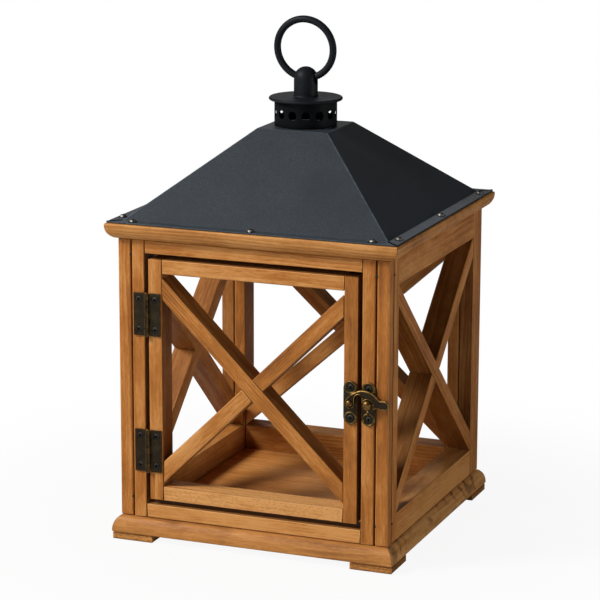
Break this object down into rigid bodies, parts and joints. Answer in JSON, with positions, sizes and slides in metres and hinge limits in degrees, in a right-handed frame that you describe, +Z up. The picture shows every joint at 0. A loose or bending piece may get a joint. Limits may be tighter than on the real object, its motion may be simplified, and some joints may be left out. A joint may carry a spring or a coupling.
{
  "type": "hanging lantern",
  "caption": "Square wooden hanging lantern with X-braced sides, a hinged door with a swing hook, and a hipped sheet-metal roof with a vented collar and a ring.",
  "frame": {"origin": "under the centre of the four feet, on the surface the lantern stands on", "axes": "+Z up, +X to the right seen from the door, -Y out of the door"},
  "size_m": [0.2104, 0.2104, 0.3577],
  "materials": {
    "pine_frame": "honey-brown stained pine, satin",
    "pine_door": "honey-brown stained pine, satin",
    "pine_moulding": "honey-brown stained pine, satin",
    "pine_floor": "darker brown stained board, satin",
    "roof_coat": "fine-textured slate-black powder coat",
    "vent_coat": "satin black powder coat",
    "antique_bronze": "darkened antique bronze, worn bright on the high edges"
  },
  "bodies": {
    "case": {"foot_front_left": "pine_moulding", "foot_front_right": "pine_moulding", "foot_back_left": "pine_moulding", "foot_back_right": "pine_moulding", "base_moulding_front": "pine_moulding", "base_moulding_right": "pine_moulding", "base_moulding_back": "pine_moulding", "base_moulding_left": "pine_moulding", "floor_board": "pine_floor", "corner_post_front_left": "pine_frame", "corner_post_front_right": "pine_frame", "corner_post_back_left": "pine_frame", "corner_post_back_right": "pine_frame", "door_jamb_left": "pine_frame", "door_jamb_right": "pine_frame", "door_header": "pine_frame", "door_sill": "pine_frame", "left_stile_front": "pine_frame", "left_stile_back": "pine_frame", "left_rail_top": "pine_frame", "left_rail_bottom": "pine_frame", "left_brace_long": "pine_frame", "left_brace_half_upper": "pine_frame", "left_brace_half_lower": "pine_frame", "right_stile_front": "pine_frame", "right_stile_back": "pine_frame", "right_rail_top": "pine_frame", "right_rail_bottom": "pine_frame", "right_brace_long": "pine_frame", "right_brace_half_upper": "pine_frame", "right_brace_half_lower": "pine_frame", "back_stile_left": "pine_frame", "back_stile_right": "pine_frame", "back_rail_top": "pine_frame", "back_rail_bottom": "pine_frame", "back_brace_long": "pine_frame", "back_brace_half_upper": "pine_frame", "back_brace_half_lower": "pine_frame", "top_moulding_front": "pine_moulding", "top_moulding_right": "pine_moulding", "top_moulding_back": "pine_moulding", "top_moulding_left": "pine_moulding", "roof_shell": "roof_coat", "vent_collar": "vent_coat", "vent_cap": "vent_coat", "hinge_upper_jamb_leaf": "antique_bronze", "hinge_lower_jamb_leaf": "antique_bronze", "latch_jamb_plate": "antique_bronze"},
    "door": {"door_stile_left": "pine_door", "door_stile_right": "pine_door", "door_rail_top": "pine_door", "door_rail_bottom": "pine_door", "door_brace_long": "pine_door", "door_brace_half_upper": "pine_door", "door_brace_half_lower": "pine_door", "hinge_upper_door_leaf": "antique_bronze", "hinge_lower_door_leaf": "antique_bronze", "latch_door_plate": "antique_bronze"},
    "latch_arm": {"latch_hook_arm": "antique_bronze"},
    "ring": {"hanging_ring": "vent_coat"}
  },
  "joints": [
    {"name": "door_hinge", "type": "hinge", "parent": "case", "child": "door", "pos_m": [-0.0766, -0.09985, 0.1134], "axis": [0, 0, -1], "range_deg": [0, 175]},
    {"name": "latch_pivot", "type": "hinge", "parent": "door", "child": "latch_arm", "pos_m": [0.0712, -0.1008, 0.1149], "axis": [0, -1, 0], "range_deg": [0, 270]},
    {"name": "ring_swing", "type": "hinge", "parent": "case", "child": "ring", "pos_m": [0, 0, 0.3144], "axis": [1, 0, 0], "range_deg": [-126, 118]}
  ]
}
